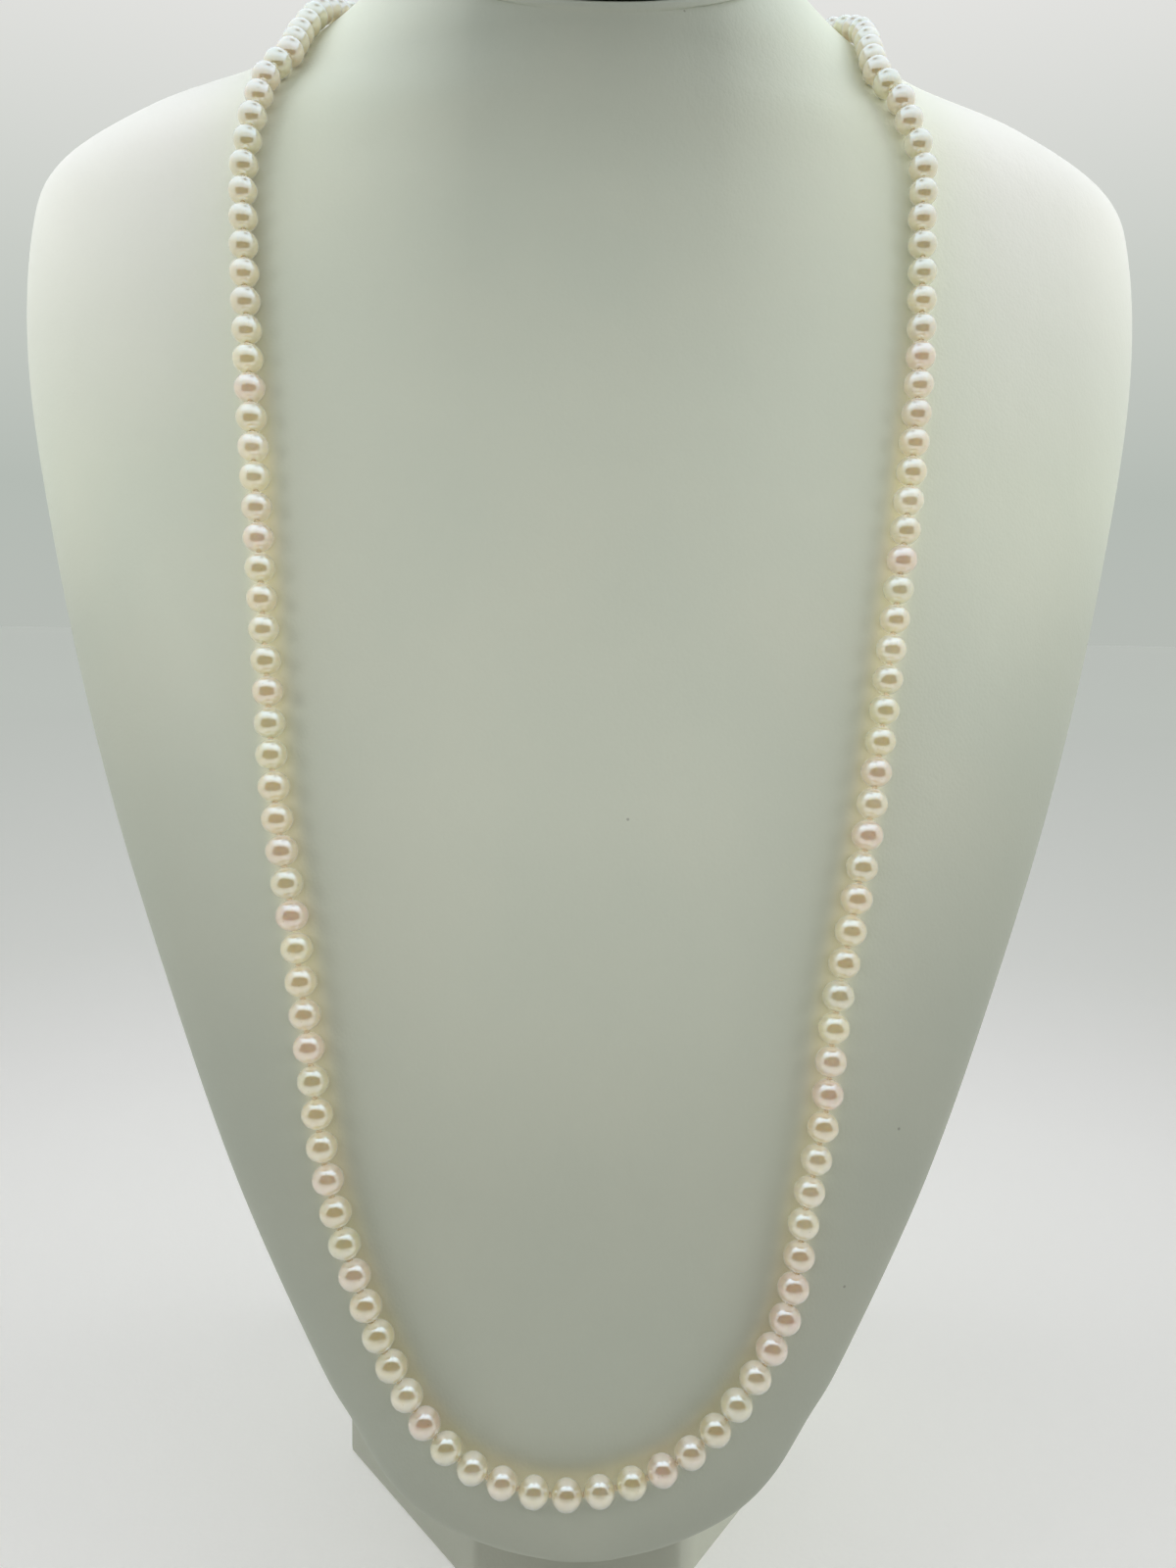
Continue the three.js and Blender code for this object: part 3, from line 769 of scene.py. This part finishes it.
# %% The nacre finish
nacre_tree = new_finish("nacre")
tint, own = nacre_tree.stored("nacre_tint", "Color"), nacre_tree.stored("nacre_place", "Vector")
depths = nacre_tree.noise(own, 0.42, 2.0)
bands = nacre_tree.noise(own * (0.25, 0.25, 2.2), 1.0, 3.0, 0.55)
deep = nacre_tree.blend(nacre_tree.ramp(depths, (0.35, 0.0), (0.7, 0.4)), tint, (0.86, 0.74, 0.42))
banded = nacre_tree.blend(nacre_tree.ramp(bands, (0.5, 0.0), (0.75, 0.15)), deep, (0.92, 0.82, 0.6))
blemish = (nacre_tree.cells(own, 0.55) < 0.09) * 0.4

# Painted shade and light: darker undersides low down, a glow on upward sides, darker near the neck
pearl_height = nacre_tree.place().along("Z")
facing_up = nacre_tree.node("NewGeometry", {}, {}, "Normal").along("Z")
low_down = nacre_tree.ramp(pearl_height, (0.05, 1.0), (0.11, 0.0))
painted_neck_shade = nacre_tree.ramp(pearl_height, (0.25, 0.0), (0.31, 0.5))
under = low_down * nacre_tree.ramp(facing_up * 0.5 + 0.5, (0.1, 0.85), (0.25, 0.55), (0.37, 0.27),
                                   (0.465, 0.13), (0.55, 0.0))
over = (nacre_tree.ramp(facing_up, (0.73, 0.0), (0.94, 1.0))
        * nacre_tree.ramp(pearl_height, (0.05, 1.0), (0.12, 0.5)))

blemished = nacre_tree.blend(blemish, banded, (0.55, 0.42, 0.25))
shaded = nacre_tree.blend(under, blemished, (0.2, 0.2, 0.16))
# painted glow: a faint emission in each pearl's banded colour
faint = nacre_tree.blend(0.8, banded, (0.0, 0.0, 0.0))
nacre = nacre_tree.skin(
    Base_Color=nacre_tree.blend(painted_neck_shade, shaded, (0.62, 0.53, 0.31)),
    Roughness=0.07 + bands * 0.05, IOR=2.5, Specular_IOR_Level=1.0,
    Specular_Tint=(0.86, 0.97, 1.0),
    Coat_Weight=1.0, Coat_Roughness=0.03, Coat_IOR=1.5,
    Subsurface_Weight=0.7, Subsurface_Radius=(1.0, 0.85, 0.5), Subsurface_Scale=0.0025,
    Emission_Color=nacre_tree.blend(over, faint, (0.82, 0.84, 0.88)), Emission_Strength=0.25,
    Sheen_Weight=0.6, Sheen_Roughness=0.4, Sheen_Tint=(0.93, 0.97, 1.0),
    Normal=nacre_tree.bump(bands + depths * 0.8, 0.000004, 0.5))
print("finish:", nacre.name)

# %% [markdown]
# ## Silk thread
# Pearls are strung on twisted silk, with a knot after each one so that they can't rub or roll
# away. The thread carries coordinates along and round itself, and a sum of the two gives the
# slanting ridges of the twist. Silk between two bright pearls is lit through, so it glows a
# little.

# %% The silk finish
silk_tree = new_finish("silk")
lay = silk_tree.stored("silk_lay", "Vector")
ply = silk_tree.node("TexWave", {"wave_type": "BANDS", "bands_direction": "X"},
                     {"Vector": lay, "Scale": 1.0, "Distortion": 0.6, "Detail": 1.0})
fuzz = silk_tree.noise(silk_tree.place(), 9000.0, 2.0)
silk = silk_tree.skin(
    Base_Color=silk_tree.blend(ply, (0.86, 0.72, 0.48), (0.95, 0.86, 0.66)),
    Roughness=0.5 + fuzz * 0.2, Normal=silk_tree.bump(ply + fuzz * 0.3, 0.00006, 0.7),
    Emission_Color=(0.9, 0.74, 0.48), Emission_Strength=0.07)
print("finish:", silk.name)

# %% [markdown]
# ## The string's way over the form
# The string is one closed loop. Its way is given by how far round the form it has turned and how
# high it lies there. Walking it in small steps and standing half a pearl off the skin gives the
# line of the pearls' centres, and the length walked gives the place of each pearl. The measured
# model walks the same way, so every finished pearl lands on its own measured one.

# %% Walk the string
PEARL_ACROSS, PEARL_PITCH, PEARL_SPREAD = 6.6, 6.66, 0.018
PEARL_BORE, THREAD, SEAT_GAP, PIECE_GAP = 1.3, 0.6, 0.15, 0.3
LOOSE_PEARLS, RUNS_PER_SIDE = 40, 4
CLASP_LENGTH, CLASP_ACROSS, CLASP_SHIFT = 9.0, 4.6, 1.5
CLASP_ROOM = CLASP_LENGTH + PIECE_GAP
WALK_STEPS, DIRECTION_STEP, SIZE_TURN = 60, 0.4, 12.9898

# degrees round from the middle of the front, and height
ROUTE = np.array([
    [-180, 380], [-150, 379.5], [-122, 377], [-100, 371.5], [-84, 364], [-70, 355],
    [-54, 344.5], [-42, 334.5], [-35, 323], [-32.7, 307], [-31.8, 282], [-32, 256],
    [-32.8, 230], [-34, 204], [-35.8, 178], [-37.2, 152], [-39.8, 127], [-42.4, 106],
    [-43.1, 90], [-42.2, 75], [-39.4, 61], [-33.5, 50], [-20, 43.4], [-3, 41.5], [14, 44.2],
    [27, 50], [35, 60.5], [39.2, 73], [39, 84], [36.8, 98], [35.4, 118], [33, 138],
    [32.2, 160], [31.5, 185], [30.8, 212], [30.5, 240], [30.2, 270], [30.2, 294], [31.2, 313],
    [35, 328], [43, 338.5], [55, 347.5], [70, 357], [84, 364.5], [100, 371.5], [122, 377],
    [150, 379.5], [180, 380],
])
stations = np.arange((len(ROUTE) - 1) * WALK_STEPS + 1) / WALK_STEPS
degrees, heights = through(ROUTE, stations).T
turns = np.radians(degrees)
levels = level_at(turns, heights)
normals = form_normal(turns, levels)
places = form_point(turns, levels) + normals * (PEARL_ACROSS / 2 + SEAT_GAP)
lengths = np.concatenate([[0], np.cumsum(np.linalg.norm(np.diff(places, axis=0), axis=1))])
loop_length = lengths[-1]


def unit(vector):
    return vector / np.linalg.norm(vector, axis=-1, keepdims=True)


def along_loop(length):
    """The place, direction and form normal after a length from the nape, going left."""
    wrapped = np.asarray(length, float) % loop_length

    def at(values, where):
        return np.stack([np.interp(where % loop_length, lengths, v) for v in values.T], -1)

    ahead_of, behind_of = at(places, wrapped + DIRECTION_STEP), at(places, wrapped - DIRECTION_STEP)
    return at(places, wrapped), unit(ahead_of - behind_of), unit(at(normals, wrapped))


def on_string(length):
    """A place on the string, and three axes there: across it, out of the form and along it."""
    place, direction, normal = (v[0] for v in along_loop([length]))
    out = unit(normal - direction * (normal @ direction))
    return place, np.array([np.cross(direction, out), out, direction])


pearl_count = round((loop_length - CLASP_ROOM) / PEARL_PITCH)
pitch = (loop_length - CLASP_ROOM) / pearl_count
first_pearl = CLASP_SHIFT + CLASP_ROOM / 2 + pitch / 2
lowest_length = lengths[np.argmin(places[:, 2])]
first_loose = math.floor((lowest_length - first_pearl) / pitch - LOOSE_PEARLS / 2 + 0.5)
last_loose = first_loose + LOOSE_PEARLS - 1
pearl_sizes = 1 + PEARL_SPREAD * np.sin(SIZE_TURN * (np.arange(pearl_count) + 1))
print(f"{pearl_count} pearls on a loop of {loop_length / 1000:.3f} m, {pitch:.2f} mm apart")

# %% [markdown]
# ## Light beside the string
# Pearls throw warm light on the skin beside them. A lamp for each would be slow, so every point
# of the cover stores how near it is to the string, and the leatherette's shader reads that.

# %% Store how near the string is
GLOW_START, GLOW_REACH, BATCHES = 3.2, 1.7, 40
cover = np.empty(len(bust.data.vertices) * 3)
bust.data.vertices.foreach_get("co", cover)
walked = places[::4]
from_string = np.concatenate([np.linalg.norm(batch[:, None] - walked, axis=-1).min(1)
                              for batch in np.array_split(cover.reshape(-1, 3) / MM, BATCHES)])
nearness = np.exp(-((np.maximum(from_string - GLOW_START, 0) / GLOW_REACH) ** 2))
bust.data.attributes.new("string_glow", "FLOAT", "POINT").data.foreach_set("value", nearness)
print("points beside the string:", int((nearness > 0.5).sum()))

# %% [markdown]
# ## A pearl
# A cultured pearl is nearly round: a little short along its thread, never quite even, now and
# then with a shallow growth ring. A sphere primitive would repeat the same ball 142 times, so
# each pearl is turned from a profile, with its drilled hole and the small chamfer at its mouth,
# and then swelled by a few smooth random bumps of its own. The profile is a hair rounder than the
# measured one, as most pearls on a good string are. Its tint is drawn from a short list of body
# colours.

# %% Shape and tint of each pearl
rng = np.random.default_rng(20)
PEARL_AROUND, PEARL_RINGS = 40, 26
SHOWN_ACROSS, SHOWN_ALONG = 6.5, 6.38
LIP_IN, LIP_DEEP = 0.13, 0.16
SWELLS, SWELL, GROWTH_CHANCE, GROWTH_DEPTH, GROWTH_HALF = 4, 0.0045, 0.12, 0.012, 0.28
TINTS = np.array([(0.86, 0.71, 0.43), (0.91, 0.68, 0.52), (0.82, 0.74, 0.45), (0.92, 0.79, 0.55),
                  (0.90, 0.66, 0.50), (0.85, 0.74, 0.44), (0.81, 0.75, 0.49)])
mouth = math.acos(PEARL_BORE / SHOWN_ACROSS) * 0.985
latitudes = np.linspace(-mouth, mouth, PEARL_RINGS)
profile = np.column_stack([SHOWN_ACROSS / 2 * np.cos(latitudes), SHOWN_ALONG / 2 * np.sin(latitudes)])
lip = profile[-1] - [LIP_IN, LIP_DEEP]
profile = np.vstack([lip * [1, -1], profile, lip])


def make_pearl(index):
    """Points, faces, own coordinates and tint of one pearl, in millimetres."""
    place, axes = on_string(first_pearl + index * pitch)
    ring_r, ring_z = (np.repeat(column, PEARL_AROUND) for column in profile.T)
    angle = np.tile(circle(PEARL_AROUND), len(profile))
    local = np.column_stack([ring_r * np.cos(angle), ring_r * np.sin(angle), ring_z])
    facing = unit(local)
    swell = np.zeros(len(local))
    for _ in range(SWELLS):
        pole = unit(rng.normal(size=3))
        swell += rng.normal(0, SWELL) * (facing @ pole) ** rng.integers(2, 4)
    if rng.random() < GROWTH_CHANCE:
        line = rng.uniform(-1.6, 1.6)
        swell -= GROWTH_DEPTH * np.exp(-(((local[:, 2] - line) / GROWTH_HALF) ** 2))
    body = 0.35 + 0.65 * np.clip(ring_r / 2.5, 0, 1)  # the bumps fade towards the hole
    local *= (pearl_sizes[index] * (1 + swell * body))[:, None]
    first, second = TINTS[rng.choice(len(TINTS), 2, replace=False)]
    tone = first + (second - first) * rng.uniform(0, 0.5)
    tone = np.clip(tone * rng.uniform(0.96, 1.03), 0, 0.96)
    own_place = local + rng.uniform(0, 400, 3)
    faces = ring_faces(len(profile), PEARL_AROUND, "loop")
    return place + local @ axes, faces, own_place, np.tile([*tone, 1.0], (len(local), 1))


pearls = [make_pearl(index) for index in range(pearl_count)]
print("a pearl has", len(pearls[0][1]), "faces")

# %% [markdown]
# ## Thread and knots
# The thread is a thin tube through the bores. A knot is a short piece of the same thread wound
# three times round itself: the curve of a trefoil, flattened along the string, gives its crossed
# strands, and it sits in the gap between two pearls where their drilled mouths leave room.

# %% A tube of thread
SILK_TWIST, SILK_ROUND = 0.5, 0.1


def tube(line, radius, sides, closed):
    """A tube along a line of points, with coordinates along and round it for the twist."""
    if closed:
        ahead_of = unit(np.roll(line, -1, 0) - np.roll(line, 1, 0))
    else:
        ahead_of = unit(np.gradient(line, axis=0))
    guide = np.array([0.0, 0.0, 1.0]) if abs(ahead_of[0][2]) < 0.9 else np.array([1.0, 0.0, 0.0])
    sides_of = [unit(np.cross(ahead_of[0], guide))]
    for direction in ahead_of[1:]:
        last = sides_of[-1]
        sides_of.append(unit(last - direction * (last @ direction)))
    ups_of = np.cross(ahead_of, sides_of)
    angle = circle(sides)[None, :, None]
    points = line[:, None] + radius * (np.cos(angle) * np.array(sides_of)[:, None]
                                       + np.sin(angle) * ups_of[:, None])
    points = points.reshape(-1, 3)
    walked = np.concatenate([[0], np.cumsum(np.linalg.norm(np.diff(line, axis=0), axis=1))])
    lay_x = np.repeat(walked, sides) * SILK_TWIST + np.tile(circle(sides), len(line)) * SILK_ROUND
    lay_of = np.column_stack([lay_x, np.zeros((len(lay_x), 2))])
    if not closed:
        points = np.vstack([points, line[0], line[-1]])
        lay_of = np.vstack([lay_of, lay_of[0], lay_of[-1]])
    return points, ring_faces(len(line), sides, "loop" if closed else "fans"), lay_of


print("a tube has", len(tube(places[:9], THREAD / 2, 8, False)[1]), "faces over eight steps")

# %% [markdown]
# ## Where the knots go
# A knot's turn round the string is random, as it is on a real one. The thread runs on under the
# pearls, so that it shows in the gaps from every side.

# %% Knots and lengths of silk
THREAD_STEP, THREAD_SIDES, KNOT_STEPS, KNOT_SIDES = 0.9, 8, 30, 7
KNOT_WIDTH, KNOT_DEPTH, KNOT_STRAND = 0.16, 0.07, 0.19
knot_turn = circle(KNOT_STEPS)
knot_line = np.column_stack([np.sin(knot_turn) + 2 * np.sin(2 * knot_turn),
                             np.cos(knot_turn) - 2 * np.cos(2 * knot_turn),
                             -np.sin(3 * knot_turn)]) * [KNOT_WIDTH, KNOT_WIDTH, KNOT_DEPTH]


def make_knot(length):
    place, axes = on_string(length)
    spin_by = rng.uniform(0, 2 * math.pi)
    c, s = math.cos(spin_by), math.sin(spin_by)
    turned = knot_line @ np.array([[c, s, 0], [-s, c, 0], [0, 0, 1]])
    return tube(place + turned @ axes, KNOT_STRAND, KNOT_SIDES, True)


def make_thread(start, end):
    steps = max(4, int((end - start) / THREAD_STEP))
    return tube(along_loop(np.linspace(start, end, steps))[0], THREAD / 2, THREAD_SIDES, False)


def silk_between(first, last):
    """The thread under pearls first to last, and the knots between them."""
    start = first_pearl + (first - 0.5) * pitch + PIECE_GAP / 2
    end = first_pearl + (last + 0.5) * pitch - PIECE_GAP / 2
    return [make_thread(start, end)] + [make_knot(first_pearl + (index + 0.5) * pitch)
                                        for index in range(first, last)]


print("knot:", len(knot_line), "steps")

# %% [markdown]
# ## The string's pieces
# The forty pearls at the front are pieces of their own, as they are in the measured model, and
# the rest are joined along their thread in four runs on each side. A run holds pearls and silk,
# so it has two finishes.

# %% Join parts into a piece
def join(parts):
    """Several (points, faces, ...) as one, with the points' numbers shifted."""
    starts = np.cumsum([0] + [len(p[0]) for p in parts[:-1]])
    faces = [[v + start for v in face] for p, start in zip(parts, starts) for face in p[1]]
    return np.concatenate([p[0] for p in parts]), faces


def store(made, name, kind, values):
    """Writes values on the points of a mesh for the shader to read."""
    layer = made.data.attributes.new(name, kind, "POINT")
    layer.data.foreach_set("color" if kind == "FLOAT_COLOR" else "vector",
                           np.asarray(values, np.float32).ravel())


def string_piece(name, pearl_parts, silk_parts):
    points, faces = join([*pearl_parts, *silk_parts])
    in_nacre = sum(len(p[1]) for p in pearl_parts)
    picks = [0] * in_nacre + [1 if pearl_parts else 0] * (len(faces) - in_nacre)
    finishes = [nacre] * bool(pearl_parts) + [silk] * bool(silk_parts)
    made = mesh_object(name, points * MM, faces, finishes, picks, sharp=62)
    silk_points = sum(len(s[0]) for s in silk_parts)
    nacre_points = len(points) - silk_points
    if pearl_parts:
        store(made, "nacre_tint", "FLOAT_COLOR",
              np.vstack([*(p[3] for p in pearl_parts), np.ones((silk_points, 4))]))
        store(made, "nacre_place", "FLOAT_VECTOR",
              np.vstack([*(p[2] for p in pearl_parts), np.zeros((silk_points, 3))]))
    if silk_parts:
        store(made, "silk_lay", "FLOAT_VECTOR",
              np.vstack([np.zeros((nacre_points, 3)), *(s[2] for s in silk_parts)]))
    return made


print("pieces of", nacre.name, "and", silk.name)

# %% [markdown]
# ## Build them
# Each single pearl is checked against the middle of its measured one as it is made. The runs are
# counted off evenly from the clasp to the single pearls, as the measured ones are.

# %% Build the pearls and the runs
worst = 0.0
for number, index in enumerate(range(first_loose, last_loose + 1), 1):
    node = f"pearl_{number:02d}"
    pearl = string_piece(f"nacre_{node}", [pearls[index]], [])
    add_piece(pearl, node)
    low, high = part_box(node)
    middle = np.mean(pearls[index][0], 0) * MM
    worst = max(worst, float(np.linalg.norm(middle - np.array((low + high) / 2))))
print(f"{LOOSE_PEARLS} single pearls, each within {worst * 1000:.2f} mm of its measured place")

for side, start, amount in (("left", 0, first_loose),
                            ("right", last_loose + 1, pearl_count - 1 - last_loose)):
    for run in range(RUNS_PER_SIDE):
        first = start + math.floor(amount * run / RUNS_PER_SIDE + 0.5)
        last = start + math.floor(amount * (run + 1) / RUNS_PER_SIDE + 0.5) - 1
        piece = string_piece(f"strand_{side}_{run + 1}", pearls[first:last + 1],
                             silk_between(first, last))
        add_piece(piece, f"{side}_run_{run + 1}")
        print(piece.name, "has", last - first + 1, "pearls")

thread = string_piece("silk_thread", [], silk_between(first_loose, last_loose))
add_piece(thread, "front_thread")

# %% [markdown]
# ## The clasp
# The clasp is a small silver barrel at the nape. Turned on a lathe, it has a plain rounded body, a
# bead and a collar at each end, and fine flutes. A profile spun round the thread makes it, with
# the flutes pressed into its rings.

# %% The clasp's finish and shape
silver_tree = new_finish("silver")
scratch = silver_tree.noise(silver_tree.place() * (3000.0, 900.0, 3000.0), 1.0, 3.0)
silver = silver_tree.skin(
    Base_Color=silver_tree.blend(scratch, (0.72, 0.71, 0.68), (0.83, 0.82, 0.8)), Metallic=1.0,
    Roughness=0.18 + scratch * 0.16, Normal=silver_tree.bump(scratch, 0.00002, 0.4))

# radius and place along the barrel, as shares of its half width and half length
CLASP_PROFILE = [(0.35, -1.0), (0.4, -0.97), (0.4, -0.86), (0.33, -0.83), (0.33, -0.8),
                 (0.55, -0.77), (0.6, -0.73), (0.55, -0.69), (0.62, -0.66), (0.82, -0.6),
                 (0.93, -0.5), (0.99, -0.36), (1.0, -0.2), (1.0, -0.05), (0.95, -0.03),
                 (0.95, 0.03), (1.0, 0.05), (1.0, 0.2), (0.99, 0.36), (0.93, 0.5), (0.82, 0.6),
                 (0.62, 0.66), (0.55, 0.69), (0.6, 0.73), (0.55, 0.77), (0.33, 0.8),
                 (0.33, 0.83), (0.4, 0.86), (0.4, 0.97), (0.35, 1.0)]
CLASP_AROUND, FLUTES, FLUTE_DEPTH, FLUTED = 72, 6, 0.035, 0.8
place, axes = on_string(CLASP_SHIFT)
clasp_turn = circle(CLASP_AROUND)
clasp_rings = []
for radius, at in CLASP_PROFILE:
    flute = 1 - FLUTE_DEPTH * np.abs(np.cos(FLUTES * clasp_turn)) ** 6 * (radius > FLUTED)
    width = flute * radius * CLASP_ACROSS / 2
    ring = [np.cos(clasp_turn) * width, np.sin(clasp_turn) * width,
            np.full(CLASP_AROUND, at * CLASP_LENGTH / 2)]
    clasp_rings.append(place + np.column_stack(ring) @ axes)
clasp = closed_mesh("barrel_clasp", clasp_rings, silver, sharp=40)
add_piece(clasp, "clasp")
print("clasp:", len(clasp_rings), "rings")

# %% [markdown]
# ## The finished size
# A finished surface must not change the measured size. The two boxes are written side by side,
# The finished box is written, with the count of triangles.

# %% Measure the finished box
low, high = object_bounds()
triangles = sum(sum(len(p.vertices) - 2 for p in o.data.polygons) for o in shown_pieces() if o.type == "MESH")
print("finished", [round(v, 4) for v in (*low, *high)], triangles, "triangles")
